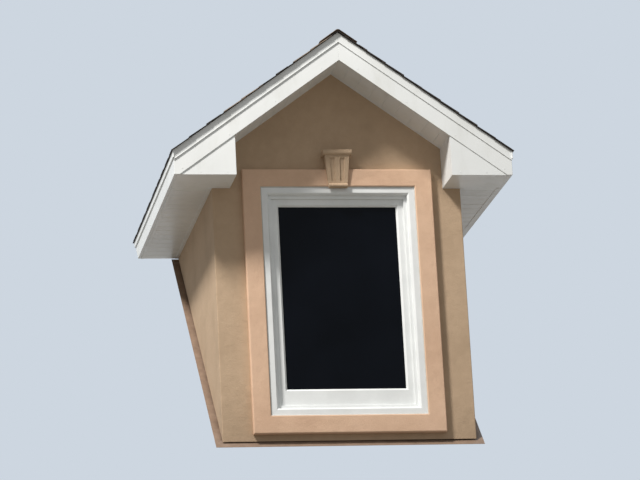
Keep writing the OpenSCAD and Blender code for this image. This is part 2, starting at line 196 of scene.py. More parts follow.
class Finish:
    """A material in the making: its nodes, its shader and its coordinates."""

    def __init__(self, name, roughness, **fixed):
        self.material = bpy.data.materials.new(name)
        self.material.use_nodes = True
        self.tree = self.material.node_tree
        self.shader = self.tree.nodes["Principled BSDF"]
        self.shader.inputs["Roughness"].default_value = roughness
        for socket, value in fixed.items():
            self.shader.inputs[socket.replace("_", " ")].default_value = value
        self.place = self.add("TexCoord").outputs["Object"]

    def add(self, kind, sockets=None, **options):
        """Adds a node and fills its options and sockets."""
        node = self.tree.nodes.new("ShaderNode" + kind)
        for option, value in options.items():
            setattr(node, option, value)
        for socket, value in (sockets or {}).items():
            if isinstance(value, bpy.types.NodeSocket):
                self.tree.links.new(value, node.inputs[socket])
            else:
                node.inputs[socket].default_value = value
        return node

    def stretch(self, scale, turn=None, place=None):
        """Turns the coordinates, then scales them."""
        place = place or self.place
        if turn:
            place = self.add("Mapping", {"Vector": place, "Rotation": turn}).outputs[0]
        return self.add("Mapping", {"Vector": place, "Scale": scale}).outputs[0]

    def noise(self, scale, detail=2.0, rough=0.5, place=None):
        """Even noise from 0 to 1."""
        return self.add("TexNoise", {"Vector": place or self.place, "Scale": scale,
                                     "Detail": detail, "Roughness": rough}).outputs["Fac"]

    def cells(self, scale, place=None, output="Distance"):
        """Random cells: the distance to the nearest centre, or a colour each."""
        return self.add("TexVoronoi", {"Vector": place or self.place,
                                       "Scale": scale}).outputs[output]

    def ramp(self, value, *stops):
        """Colours between stops, each a place from 0 to 1 and a colour."""
        node = self.add("ValToRGB", {"Fac": value})
        marks = node.color_ramp.elements
        while len(marks) < len(stops):
            marks.new(0.5)
        for mark, (place, colour) in zip(marks, stops):
            mark.position = place
            mark.color = colour
        return node.outputs["Color"]

    def grey_ramp(self, value, *stops):
        """The same for plain numbers."""
        return self.ramp(value, *[(place, (level, level, level, 1)) for place, level in stops])

    def mix(self, share, first, second, way="MIX"):
        """Mixes two colours by a share."""
        node = self.add("Mix", data_type="RGBA", blend_type=way)
        for socket, value in zip((0, 6, 7), (share, first, second)):
            if isinstance(value, bpy.types.NodeSocket):
                self.tree.links.new(value, node.inputs[socket])
            else:
                node.inputs[socket].default_value = value
        return node.outputs[2]

    def sums(self, way, first, second=0):
        """Works out one number from two, or from one where the way needs no more."""
        return self.add("Math", {0: first, 1: second}, operation=way).outputs[0]

    def moved(self, place, offset):
        """Moves coordinates by an offset."""
        return self.add("VectorMath", {0: place, 1: offset}, operation="ADD").outputs[0]

    def coloured(self, colour):
        self.tree.links.new(colour, self.shader.inputs["Base Color"])

    def roughened(self, value):
        self.tree.links.new(value, self.shader.inputs["Roughness"])

    def bumped(self, height, depth):
        """Lays a relief of this depth in metres over the surface."""
        bump = self.add("Bump", {"Height": height, "Distance": depth})
        before = self.shader.inputs["Normal"].links
        if before:
            self.tree.links.new(before[0].from_socket, bump.inputs["Normal"])
        self.tree.links.new(bump.outputs["Normal"], self.shader.inputs["Normal"])
        return self


def softwood(name, grain):
    """Sawn spruce whose grain runs along a direction."""
    wood = Finish(name, 0.62)
    turn = Vector(grain).rotation_difference(Vector((1, 0, 0))).to_euler()
    own = wood.add("Attribute", attribute_name="tone").outputs["Fac"]
    shifted = wood.moved(wood.place, wood.add("CombineXYZ", {0: own, 1: own, 2: own}).outputs[0])
    rings = wood.noise(1.0, 1.5, 0.4, wood.stretch((0.55, 9, 9), turn, shifted))
    rings = wood.sums("FRACT", wood.sums("MULTIPLY", rings, 15))
    late = wood.grey_ramp(rings, (0.0, 0.0), (0.55, 0.25), (0.85, 1.0), (0.95, 0.1))
    fibre = wood.noise(1.0, 3, 0.6, wood.stretch((9, 420, 420), turn, shifted))
    pale = wood.ramp(own, (0, paint(222, 191, 143)), (0.5, paint(212, 176, 124)),
                     (1, paint(196, 157, 108)))
    body = wood.mix(wood.sums("MULTIPLY", late, 0.42), pale, paint(163, 117, 68))
    body = wood.mix(wood.grey_ramp(fibre, (0.35, 0.3), (0.65, 0.0)), body, paint(150, 112, 72))
    knots = wood.cells(1.0, wood.stretch((2.1, 8, 8), turn, shifted))
    body = wood.mix(wood.grey_ramp(knots, (0.07, 0.85), (0.12, 0.0)), body, paint(92, 55, 30))
    wood.coloured(body)
    wood.bumped(fibre, 0.0004).bumped(late, 0.0002)
    return wood.material


ALONG_X, ALONG_Y, UPRIGHT = (1, 0, 0), (0, 1, 0), (0, 0, 1)
UP_THE_BASE = (0, cos(main_slope), sin(main_slope))
sticks = [
    ("front_sill_plate", ALONG_X), ("side_sole_plates", UP_THE_BASE),
    ("corner_studs", UPRIGHT), ("window_studs", UPRIGHT), ("window_header", ALONG_X),
    ("header_cripples", UPRIGHT), ("front_top_plate", ALONG_X), ("side_top_plates", ALONG_Y),
    ("side_studs", UPRIGHT), ("gable_studs", UPRIGHT), ("ridge_board", ALONG_Y),
]
softwoods = {grain: softwood("softwood_" + name, grain) for name, grain in
             (("across", ALONG_X), ("back", ALONG_Y), ("upright", UPRIGHT),
              ("up_roof", UP_THE_BASE))}
for node, grain in sticks:
    stick = copy_of(node, node + "_timber")
    round_edges(stick, arris)
    give_tones(stick)
    settle(stick, softwoods[grain], "timber", node)

# Rafters and valley boards slope two ways, so each half is a piece of its own,
# with the grain along its length.
hands = ((-1, "left"), (1, "right"))
down_rafter = Vector((cos(dormer_slope), 0, -sin(dormer_slope)))
down_valley = Vector((1, -tan(dormer_slope), -tan(dormer_slope))).normalized()


def half_copy_of(node, name, hand):
    """Copies the left or the right half of a CAD node that has two."""
    half = copy_of(node, name)
    edit(half)
    pick_faces(lambda centre, normal: centre.x * hand < 0)
    bpy.ops.mesh.delete(type="FACE")
    leave_edit()
    return half


for node, slope_line in (("rafters", down_rafter), ("valley_boards", down_valley)):
    for hand, label in hands:
        half = half_copy_of(node, node + "_" + label + "_timber", hand)
        round_edges(half, arris)
        give_tones(half)
        grain = (slope_line.x * hand, slope_line.y, slope_line.z)
        settle(half, softwood("softwood_" + node + "_" + label, grain), "timber", node)


# Sheathing and roof deck
# Strand board, 12 mm, in sheets with a 3 mm gap between them. Pressed wood
# strands lie flat in it at all angles, and each has its own shade.
sheet_gap = 0.003
sheet_w = 1.22
sawn_edge = 0.0008


def strand_board(name, turn):
    """Pressed strands, about 90 by 16 mm, turned so that they lie in the sheet."""
    board = Finish(name, 0.66)
    drift = board.add("TexNoise", {"Vector": board.place, "Scale": 9.0}).outputs["Color"]
    drift = board.add("VectorMath", {0: drift, "Scale": 0.007}, operation="SCALE").outputs[0]
    flat = board.stretch((1, 1, 1), turn, board.moved(board.place, drift))
    shades = []
    for angle, size in ((0.3, 1.0), (1.35, 0.8), (2.4, 1.15)):
        laid = board.stretch((11 / size, 64 / size, 40), (0, 0, angle), flat)
        shades.append(board.cells(1.0, laid, "Color"))
    which = board.cells(26.0, output="Color")
    top = board.mix(board.grey_ramp(which, (0.42, 0), (0.46, 1)), shades[0], shades[1])
    other = board.add("SeparateColor", {0: which}).outputs[1]
    top = board.mix(board.grey_ramp(other, (0.55, 0), (0.6, 1)), top, shades[2])
    level = board.add("SeparateColor", {0: top}).outputs[0]
    fibre = board.noise(170.0, 3)
    tone = board.ramp(level, (0.0, paint(158, 119, 74)), (0.35, paint(190, 150, 101)),
                      (0.7, paint(207, 171, 121)), (1.0, paint(222, 191, 144)))
    board.coloured(board.mix(board.grey_ramp(fibre, (0.4, 0.25), (0.6, 0)), tone,
                             paint(134, 98, 62)))
    board.bumped(level, 0.0005).bumped(fibre, 0.0002)
    return board.material


def part_sheets(piece, across, seams):
    """Parts a board into sheets, with a gap at each seam along a direction."""
    across = Vector(across)
    for seam in seams:
        edit(piece)
        for side in (-0.5, 0.5):
            bpy.ops.mesh.select_all(action="SELECT")
            bpy.ops.mesh.bisect(plane_co=across * (seam + side * sheet_gap), plane_no=across)
        pick_faces(lambda centre, normal:
                   abs(centre.dot(across) - seam) < 0.45 * sheet_gap)
        bpy.ops.mesh.delete(type="FACE")
        bpy.ops.mesh.select_all(action="SELECT")
        bpy.ops.mesh.fill_holes(sides=0)
        leave_edit()


deck_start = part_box("roof_deck_right")[0].y
deck_seams = [deck_start + sheet_w, deck_start + 2 * sheet_w]
boards = [("front_sheathing", (radians(90), 0, 0), ALONG_X, [0.0]),
          ("side_sheathing_left", (0, radians(90), 0), ALONG_Y, [sheet_w]),
          ("side_sheathing_right", (0, radians(90), 0), ALONG_Y, [sheet_w]),
          ("roof_deck_left", (0, dormer_slope, 0), ALONG_Y, deck_seams),
          ("roof_deck_right", (0, -dormer_slope, 0), ALONG_Y, deck_seams)]
for node, turn, across_seam, seams in boards:
    board = copy_of(node, node + "_sheets")
    part_sheets(board, across_seam, seams)
    round_edges(board, sawn_edge, 1)
    settle(board, strand_board("strands_" + node, turn), "sheathing", node)


# Flashing
# Brown painted steel. One long piece is bent along the foot of the front wall,
# and short pieces are woven in up each side wall, each lapped by the next.
step_pitch = 0.143
step_length = 0.2
step_rise = 0.1
step_sheet = 0.0008
step_inset = 0.001
sheet_edge = 0.0003
sliver = 0.001


def painted_steel():
    """Baked paint near the shingles' own brown, dusty and a little uneven."""
    steel = Finish("brown_steel", 0.42, Coat_Weight=0.15)
    dust = steel.noise(14.0, 4, 0.6)
    steel.coloured(steel.ramp(dust, (0.3, paint(120, 99, 83)), (0.7, paint(141, 119, 102))))
    steel.roughened(steel.grey_ramp(steel.noise(40.0, 3), (0.3, 0.36), (0.7, 0.55)))
    steel.bumped(steel.noise(6.0, 1), 0.0008)
    return steel.material


brown = painted_steel()
apron = copy_of("apron_flashing", "apron_flashing_sheet")
round_edges(apron, sheet_edge, 1)
settle(apron, brown, "brown_metal", "apron_flashing")

steps_low, steps_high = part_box("side_flashings")
step_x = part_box("side_sheathing_right")[1].x
step_out = steps_high.x - step_x


def block(low, high):
    """A plain block between two corners, to be shaped further."""
    low, high = Vector(low), Vector(high)
    bpy.ops.object.select_all(action="DESELECT")
    bpy.ops.mesh.primitive_cube_add(size=1)
    piece = bpy.context.object
    piece.data.transform(Matrix.Translation((low + high) / 2)
                         @ Matrix.Diagonal((*(high - low), 1)))
    return piece


def step_flashing():
    """One bent piece: a leg that lies out from the wall, and an upstand against it."""
    piece = block((0, 0, 0), (step_out, step_length, step_sheet))
    edit(piece)
    bpy.ops.mesh.select_all(action="SELECT")
    bpy.ops.mesh.bisect(plane_co=(step_sheet, 0, 0), plane_no=(1, 0, 0))
    pick_faces(lambda centre, normal: normal.z > 0.9 and centre.x < step_sheet)
    bpy.ops.mesh.extrude_region_move(
        TRANSFORM_OT_translate={"value": (0, 0, step_rise - step_sheet)})
    leave_edit()
    round_edges(piece, sheet_edge, 1)
    return piece


def place_copy(model, name, matrix):
    """A copy of a modelled piece with its place in a mesh of its own."""
    piece = bpy.data.objects.new(name, model.data.copy())
    piece.data.transform(matrix)
    bpy.context.collection.objects.link(piece)
    return piece


def join(pieces, name):
    """Joins pieces into one object."""
    bpy.ops.object.select_all(action="DESELECT")
    for piece in pieces:
        piece.select_set(True)
    bpy.context.view_layer.objects.active = pieces[0]
    bpy.ops.object.join()
    pieces[0].name = name
    return pieces[0]


def cut_off(piece, point, normal):
    """Cuts away what lies beyond a plane, and closes the cut."""
    edit(piece)
    bpy.ops.mesh.select_all(action="SELECT")
    bpy.ops.mesh.bisect(plane_co=point, plane_no=normal, use_fill=True, clear_outer=True)
    leave_edit()


def trim_to(piece, *planes):
    """Cuts one piece at planes, each a point and a normal, and says if any is left."""
    for point, normal in planes:
        beyond = [(vertex.co - point).dot(normal) for vertex in piece.data.vertices]
        if min(beyond) > -sliver:
            bpy.data.objects.remove(piece)
            return False
        if max(beyond) > 0:
            cut_off(piece, point, normal)
    return True


# Each piece leans, so that its foot lies on the top of the piece below it.
step_model = step_flashing()
step_seat = 0.9 * step_sheet
step_lean = Matrix.Rotation(-asin(step_sheet / step_pitch), 4, "X")
roof_tilt = Matrix.Rotation(main_slope, 4, "X")
step_top = steps_high.z / sin(main_slope)
top_trim = Vector((0, 0, steps_high.z)), Vector((0, 0, 1))
foot_trim = Vector((0, steps_low.y, 0)), Vector((0, -1, 0))
for hand, label in hands:
    steps = []
    start = steps_low.y / cos(main_slope) + step_inset
    while start < step_top:
        laid = Matrix.Translation((step_x, start, step_seat)) @ step_lean
        step = place_copy(step_model, "step", roof_tilt @ laid)
        if trim_to(step, top_trim, foot_trim):
            steps.append(step)
        start += step_pitch
    steps = join(steps, "side_flashing_" + label + "_steps")
    if hand < 0:
        steps.data.transform(Matrix.Diagonal((-1, 1, 1, 1)))
        steps.data.flip_normals()
    settle(steps, brown, "brown_metal", "side_flashings")
bpy.data.objects.remove(step_model)


# Stucco walls
# Insulated stucco: foam board, a reinforced base coat and a sand-finish coat in
# khaki tan, floated by hand. The outer corners are softened by the coat.
corner_round = 0.005
coat_t = 0.006
foot_darkening_h = 0.3
on_plane = 0.0002


def sand_finish(name, pale, mid, dark, foot, foam_x=0.0, foam_y=0.0):
    """Floated sand-finish stucco, darker towards its foot, over foam at a wall's cut edges."""
    coat = Finish(name, 0.93)
    cloud = coat.noise(2.6, 4, 0.6)
    blotch = coat.noise(19.0, 5, 0.65)
    sand = coat.noise(520.0, 2, 0.6)
    grit = coat.cells(430.0)
    swirl = coat.noise(95.0, 2, 0.5)
    trowel = coat.noise(13.0, 4, 0.55)
    tone = coat.ramp(cloud, (0.3, dark), (0.5, mid), (0.72, pale))
    tone = coat.mix(coat.grey_ramp(blotch, (0.35, 0.3), (0.62, 0)), tone, dark)
    tone = coat.mix(coat.grey_ramp(sand, (0.3, 0.4), (0.55, 0)), tone, dark)
    tone = coat.mix(coat.grey_ramp(grit, (0.0, 0.3), (0.35, 0)), tone, pale)
    across, through, height = coat.add("SeparateXYZ", {0: coat.place}).outputs
    # The coat grows darker and browner over its lowest 0.3 m, most at its foot.
    near_foot = coat.add("MapRange", {"Value": height, "From Min": foot,
                                      "From Max": foot + foot_darkening_h,
                                      "To Min": 0.5, "To Max": 0.0}).outputs[0]
    foot_darkening = coat.sums("MULTIPLY", near_foot, coat.noise(7.0, 4, 0.65))
    tone = coat.mix(foot_darkening, tone, paint(128, 106, 84))
    if foam_x:
        inside = coat.sums("LESS_THAN", coat.sums("ABSOLUTE", across), foam_x)
        if foam_y:
            behind = coat.sums("GREATER_THAN", through, foam_y)
            inside = coat.sums("MULTIPLY", inside, behind)
        beads = coat.ramp(coat.cells(260.0), (0.2, paint(240, 241, 239)),
                          (0.6, paint(214, 217, 216)))
        tone = coat.mix(inside, tone, beads)
    coat.coloured(tone)
    coat.bumped(trowel, 0.0040).bumped(swirl, 0.0011).bumped(sand, 0.0006)
    coat.bumped(grit, 0.0008)
    return coat.material


wall_low, wall_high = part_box("front_wall")
khaki_tones = paint(198, 172, 144), paint(192, 166, 138), paint(178, 153, 126)
khaki = sand_finish("khaki_stucco", *khaki_tones, wall_low.z, wall_high.x - coat_t,
                    wall_low.y + coat_t)
side_khaki = sand_finish("khaki_stucco_sides", *khaki_tones, wall_low.z, wall_high.x - coat_t)


def round_picked_edges(piece, radius, steps, test):
    """Rounds the edges whose middle and direction pass a test."""
    edit(piece)
    bpy.ops.mesh.select_mode(type="EDGE")
    mesh = bmesh.from_edit_mesh(piece.data)
    for edge in mesh.edges:
        start, end = edge.verts[0].co, edge.verts[1].co
        edge.select_set(bool(test((start + end) / 2, (end - start).normalized())))
    bmesh.update_edit_mesh(piece.data)
    bpy.ops.mesh.bevel(offset=radius, segments=steps, affect="EDGES")
    leave_edit()
    shade(piece)


front_wall = copy_of("front_wall", "front_wall_stucco")
round_picked_edges(front_wall, corner_round, 3, lambda middle, line: (
    abs(line.z) > 0.99 and abs(middle.x) > wall_high.x - on_plane
    and middle.y < wall_low.y + on_plane))
settle(front_wall, khaki, "stucco", "front_wall")


def finish_node(node, material):
    """Gives a CAD node that stays in view its material."""
    materials = frame["nodes"][node].data.materials
    materials.clear()
    materials.append(material)


for label in ("left", "right"):
    finish_node("side_wall_" + label, side_khaki)


# Window surround
# A raised band of stucco over foam, in a warmer tan, with softened edges, and a
# keystone in the wall's colour over the middle of its head.
band_round = 0.0025
key_round = 0.0018
# The band's darkening starts 0.2 m below it, so only its lowest part darkens a little.
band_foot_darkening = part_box("window_band")[0].z - 0.2
peach = sand_finish("peach_stucco", paint(227, 192, 164), paint(222, 187, 158),
                    paint(208, 172, 144), band_foot_darkening)
band = copy_of("window_band", "window_band_stucco")
round_edges(band, band_round)
settle(band, peach, "band_stucco", "window_band")
keystone = copy_of("keystone", "keystone_stucco")
round_edges(keystone, key_round)
settle(keystone, sand_finish("khaki_stucco_keystone", *khaki_tones, 0.0), "stucco", "keystone")


# Window
# White extruded vinyl: a frame with its outer moulding, a fixed sash and the
# glazing bead, each mitred and welded at the corners. The glass is one sealed
# unit, and the room behind it is dark.
weld_w = 0.0016
weld_d = 0.0008
weld_reach = 0.15
stile = 0.060
foot_rail = 0.122


def white_vinyl():
    """Semi-gloss white vinyl, a little dusty and faintly wavy."""
    vinyl = Finish("white_vinyl", 0.34, Coat_Weight=0.1, Coat_Roughness=0.25)
    dust = vinyl.noise(5.0, 4, 0.6)
    vinyl.coloured(vinyl.ramp(dust, (0.3, paint(223, 225, 224)), (0.65, paint(234, 236, 235))))
    vinyl.roughened(vinyl.grey_ramp(vinyl.noise(60.0, 3), (0.3, 0.3), (0.7, 0.44)))
    vinyl.bumped(vinyl.noise(3.0, 1), 0.0006)
    return vinyl.material


vinyl = white_vinyl()


def pick_points(test):
    """In edit mode, selects the vertices that pass a test."""
    bpy.ops.mesh.select_mode(type="VERT")
    bpy.ops.mesh.select_all(action="DESELECT")
    mesh = bmesh.from_edit_mesh(bpy.context.edit_object.data)
    for point in mesh.verts:
        point.select_set(bool(test(point)))
    mesh.select_flush_mode()
    bmesh.update_edit_mesh(bpy.context.edit_object.data)


def score_weld(piece, corner, inwards):
    """Scores the weld across one corner of a frame as a fine V in its front."""
    line = inwards.normalized()
    beside = Vector((line.z, 0, -line.x))
    edit(piece)
    for offset in (-weld_w / 2, 0, weld_w / 2):
        bpy.ops.mesh.select_all(action="SELECT")
        bpy.ops.mesh.bisect(plane_co=corner + beside * offset, plane_no=beside)
    pick_points(lambda point: abs((point.co - corner).dot(beside)) < on_plane
                and (point.co - corner).xz.length < weld_reach
                and any(face.normal.y < -0.5 for face in point.link_faces))
    bpy.ops.transform.translate(value=(0, weld_d, 0))
    bpy.ops.mesh.customdata_custom_splitnormals_clear()
    leave_edit()


# The sash's foot rail is deeper than its stiles, so its lower welds run steeper.
for node, soft in (("window_frame", 0.0018), ("window_sash", 0.0015), ("glazing_bead", 0.001)):
    part = copy_of(node, node + "_vinyl")
    round_edges(part, soft)
    if node != "glazing_bead":
        low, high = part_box(node)
        foot_angle = radians(45) if node == "window_frame" else atan2(foot_rail, stile)
        for x, inwards in ((low.x, 1), (high.x, -1)):
            upwards = Vector((inwards * cos(foot_angle), 0, sin(foot_angle)))
            score_weld(part, Vector((x, 0, low.z)), upwards)
            score_weld(part, Vector((x, 0, high.z)), Vector((inwards, 0, -1)))
        shade(part)
    settle(part, vinyl, "vinyl", node)


sealant_w = 0.006
tooled_w = 0.005


def sealant_bead():
    """A tooled bead of sealant in the corner between the moulding and the band."""
    low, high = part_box("window_frame")
    bpy.ops.object.select_all(action="DESELECT")
    bpy.ops.mesh.primitive_plane_add(size=1)
    bead = bpy.context.object
    bead.data.transform(
        Matrix.Translation(((low.x + high.x) / 2, low.y, (low.z + high.z) / 2))
        @ Matrix.Rotation(radians(90), 4, "X")
        @ Matrix.Diagonal((high.x - low.x, high.z - low.z, 1, 1)))
    bead.name = "window_sealant"
    edit(bead)
    bpy.ops.mesh.select_all(action="SELECT")
    bpy.ops.mesh.inset(thickness=sealant_w, depth=0)
    bpy.ops.mesh.delete(type="FACE")
    bpy.ops.mesh.select_all(action="SELECT")
    bpy.ops.mesh.extrude_region_move(TRANSFORM_OT_translate={"value": (0, -sealant_w, 0)})
    mesh = bmesh.from_edit_mesh(bead.data)
    middle = (low + high) / 2
    for point in mesh.verts:
        inner = abs(point.co.x - middle.x) < (high.x - low.x) / 2 - on_plane
        if point.co.y < low.y - on_plane and inner:
            point.co.x += copysign(tooled_w, point.co.x - middle.x)
            point.co.z += copysign(tooled_w, point.co.z - middle.z)
    bmesh.update_edit_mesh(bead.data)
    bpy.ops.mesh.select_all(action="SELECT")
    bpy.ops.mesh.normals_make_consistent(inside=False)
    leave_edit()
    return bead


bead = sealant_bead()
sealant = Finish("white_sealant", 0.55)
sealant.coloured(sealant.ramp(sealant.noise(24.0, 3), (0.3, paint(184, 182, 175)),
                              (0.7, paint(203, 201, 195))))
sealant.bumped(sealant.noise(60.0, 2), 0.001)
settle(bead, sealant.material, "vinyl")


def glass_with_painted_room_shade():
    """Clear glass over a dark room, the room's shade painted into its colour as near black, with a
    faint cool bloom.
    """
    glass = Finish("glass_with_painted_room_shade", 0.03, Specular_IOR_Level=0.09, IOR=1.5)
    film = glass.noise(2.2, 3, 0.5)
    # The near-black colour is painted shade of the dark room behind the glass.
    glass.coloured(glass.ramp(film, (0.35, paint(4, 6, 11)), (0.7, paint(9, 12, 19))))
    glass.roughened(glass.grey_ramp(glass.noise(9.0, 4), (0.35, 0.02), (0.7, 0.07)))
    glass.bumped(glass.noise(1.6, 0), 0.0012)
    return glass.material


finish_node("glass", glass_with_painted_room_shade())


# Soffits
# White aluminium soffit panels with a V groove every 102 mm, cut to run out
# from the wall, in a slim channel along the wall and under the fascia.
groove_pitch = 0.102
groove_w = 0.006
groove_d = 0.0035
first_panel_side = 0.05
first_panel_rake = 0.06
last_panel = 0.03
channel_w = 0.022
channel_t = 0.0025
channel_edge = 0.0008
channel_short = 0.004
spare = 0.1
base_cover = 0.012


def white_aluminium():
    """Baked white paint on thin sheet, faintly wavy, with a little grime."""
    sheet = Finish("white_aluminium", 0.36, Coat_Weight=0.1, Coat_Roughness=0.25)
    grime = sheet.noise(1.0, 5, 0.6, sheet.stretch((7, 7, 2.2)))
    cloud = sheet.noise(2.0, 2)
    tone = sheet.ramp(cloud, (0.3, paint(227, 229, 228)), (0.7, paint(236, 238, 237)))
    sheet.coloured(sheet.mix(sheet.grey_ramp(grime, (0.52, 0.0), (0.85, 0.4)), tone,
                             paint(196, 194, 184)))
    sheet.roughened(sheet.grey_ramp(sheet.noise(30.0, 3), (0.3, 0.3), (0.7, 0.46)))
    sheet.bumped(sheet.noise(5.5, 1), 0.0012).bumped(sheet.noise(380.0, 1), 0.00004)
    return sheet.material


aluminium = white_aluminium()


def cut_grooves(piece, along, inward, first, last):
    """Cuts V grooves across a panel's outer face at a steady pitch."""
    along, inward = Vector(along), Vector(inward)
    edit(piece)
    level = min(point.co.dot(inward) for point in bmesh.from_edit_mesh(piece.data).verts)
    place = first
    while place < last:
        for offset in (-groove_w / 2, 0, groove_w / 2):
            bpy.ops.mesh.select_all(action="SELECT")
            bpy.ops.mesh.bisect(plane_co=along * (place + offset), plane_no=along)
        pick_points(lambda point: abs(point.co.dot(along) - place) < on_plane
                    and point.co.dot(inward) < level + on_plane)
        bpy.ops.transform.translate(value=inward * groove_d)
        place += groove_pitch
    leave_edit()


# Trim and shingles end 12 mm above the sloping plane that the framing stands on.
base_trim = (Vector((0, 0, base_cover / cos(main_slope))),
             Vector((0, sin(main_slope), -cos(main_slope))))
soffit_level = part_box("side_soffit_right")[0].z
fascia_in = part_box("side_fascia_right")[0].x
for hand, label in hands:
    node = "side_soffit_" + label
    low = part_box(node)[0]
    panel = copy_of(node, node + "_panels")
    cut_grooves(panel, ALONG_Y, UPRIGHT, low.y + first_panel_side, soffit_level - last_panel)
    settle(panel, aluminium, "white_metal", node)
    channels = []
    for inner in (wall_high.x, fascia_in - channel_w):
        ends = sorted((hand * inner, hand * (inner + channel_w)))
        channels.append(block((ends[0], low.y, soffit_level - channel_t),
                              (ends[1], soffit_level - channel_short, soffit_level)))
    channels = join(channels, "soffit_channels_" + label)
    cut_off(channels, *base_trim)
    round_edges(channels, channel_edge)
    settle(channels, aluminium, "white_metal")

    node = "rake_soffit_" + label
    low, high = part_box(node)
    panel = copy_of(node, node + "_panels")
    up_rake = Vector((-hand * cos(dormer_slope), 0, sin(dormer_slope)))
    inward = Vector((hand * sin(dormer_slope), 0, cos(dormer_slope)))
    foot = Vector((hand * max(abs(low.x), abs(high.x)), 0, low.z)).dot(up_rake)
    top = Vector((0, 0, high.z)).dot(up_rake)
    cut_grooves(panel, up_rake, inward, foot + first_panel_rake, top - last_panel)
    settle(panel, aluminium, "white_metal", node)
    under = min(point.co.dot(inward) for point in panel.data.vertices)
    channel = block((foot - spare, wall_low.y - channel_w, under - channel_t),
                    (top + spare, wall_low.y, under))
    channel.data.transform(Matrix((up_rake, ALONG_Y, inward)).transposed().to_4x4())
    if hand > 0:
        channel.data.flip_normals()
    channel.name = "rake_channel_" + label
    cut_off(channel, (0, 0, 0), (-hand, 0, 0))
    cut_off(channel, (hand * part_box("eave_return_right")[0].x, 0, 0), (hand, 0, 0))
    round_edges(channel, channel_edge)
    settle(channel, aluminium, "white_metal")


# Fascias, rake boards and returns
# Timber boards capped in bent white aluminium, with hemmed edges and painted
# trim nails, and a drip edge strip along the top under the shingles.
nail_r = 0.0035
nail_dome = 0.0006
nail_sunk = 0.0003
nail_pitch = 0.38
cap_fold = 0.0015

for node in ("rake_board_left", "rake_board_right", "side_fascia_left", "side_fascia_right",
             "eave_return_left", "eave_return_right"):
    cap = copy_of(node, node + "_cap")
    round_edges(cap, cap_fold)
    settle(cap, aluminium, "white_metal", node)

# The drip strips are bent at the foot to throw water clear of the boards.
kick_h = 0.007
kick_out = 0.0016
strip_back = 0.0065
strip_edge = 0.001
strip_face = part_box("rake_strip_right")[0].y


def kick_foot(piece, off, outwards):
    """Bends a strip's lower edge outwards, where off points from it to its upper edge."""
    edit(piece)
    mesh = bmesh.from_edit_mesh(piece.data)
    foot = min(point.co.dot(off) for point in mesh.verts)
    face = max(point.co.dot(outwards) for point in mesh.verts)
    bpy.ops.mesh.select_all(action="SELECT")
    bpy.ops.mesh.bisect(plane_co=off * (foot + kick_h), plane_no=off)
    pick_points(lambda point: point.co.dot(off) < foot + on_plane
                and point.co.dot(outwards) > face - on_plane)
    bpy.ops.transform.translate(value=outwards * kick_out)
    leave_edit()


for hand, label in hands:
    strip = copy_of("rake_strip_" + label, "rake_strip_" + label + "_bent")
    edit(strip)
    pick_points(lambda point: point.co.y < strip_face + on_plane)
    bpy.ops.transform.translate(value=(0, strip_back, 0))
    leave_edit()
    kick_foot(strip, Vector((hand * sin(dormer_slope), 0, cos(dormer_slope))), Vector((0, -1, 0)))
    round_edges(strip, strip_edge)
    settle(strip, aluminium, "white_metal", "rake_strip_" + label)
    drip = half_copy_of("eave_drip_edges", "eave_drip_edge_" + label, hand)
    kick_foot(drip, Vector(UPRIGHT), Vector((hand, 0, 0)))
    round_edges(drip, strip_edge)
    settle(drip, aluminium, "white_metal", "eave_drip_edges")


def nail_head():
    """The low domed head of a painted nail, which faces up until it is placed."""
    bpy.ops.object.select_all(action="DESELECT")
    bpy.ops.mesh.primitive_cylinder_add(vertices=10, radius=nail_r, depth=2 * nail_dome)
    head = bpy.context.object
    edit(head)
    pick_faces(lambda centre, normal: normal.z > 0.9)
    bpy.ops.mesh.inset(thickness=nail_r * 0.35, depth=nail_dome)
    leave_edit()
    return head


# The rake boards are nailed at a steady pitch down the slope, and each return
# twice near its lower edge.
board_low, board_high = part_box("rake_board_right")
return_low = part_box("eave_return_right")[0]
first_rake_nail = 0.12
rake_nail_down = 0.115
return_nail_up = 0.018
head_model = nail_head()
facing_front = Matrix.Rotation(radians(90), 4, "X")
nails = []
for hand, label in hands:
    spot_x = first_rake_nail
    while spot_x < board_high.x:
        level = board_high.z - tan(dormer_slope) * spot_x - rake_nail_down / cos(dormer_slope)
        spot = Matrix.Translation((hand * spot_x, board_low.y - nail_sunk, level))
        nails.append(place_copy(head_model, "nail", spot @ facing_front))
        spot_x += nail_pitch * cos(dormer_slope)
    for share in (0.15, 0.6):
        spot_x = return_low.x + share * (fascia_in - return_low.x)
        spot = Matrix.Translation((hand * spot_x, return_low.y - nail_sunk,
                                   return_low.z + return_nail_up))
        nails.append(place_copy(head_model, "nail", spot @ facing_front))
nails = join(nails, "trim_nails_front")
settle(nails, aluminium, "white_metal")

fascia_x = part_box("side_fascia_right")[1].x
fascia_nail_up = 0.03
first_fascia_nail = 0.1
for hand, label in hands:
    nails = []
    facing_out = Matrix.Rotation(hand * radians(90), 4, "Y")
    spot_y = board_low.y + first_fascia_nail
    while spot_y < soffit_level:
        spot = Matrix.Translation((hand * (fascia_x + nail_sunk), spot_y,
                                   soffit_level + fascia_nail_up))
        nails.append(place_copy(head_model, "nail", spot @ facing_out))
        spot_y += nail_pitch
    nails = join(nails, "trim_nails_" + label)
    settle(nails, aluminium, "white_metal")
bpy.data.objects.remove(head_model)


# Shingles
# Laminated asphalt shingles in blended brown and tan. Each is a strip about a
# metre long with thick tabs of uneven width laminated on, and every course
# laps the one below it, 143 mm to the weather.
exposure = 0.143
tucked = 0.030
strip_length = 1.0
strip_gap = 0.0015
ply = 0.0022
tab_slant = 0.12
uneven = 0.0012
past_valley = 0.1
butt_room = 0.006
rake_room = 0.0002
lift = 2 * ply * (exposure + tucked) / exposure


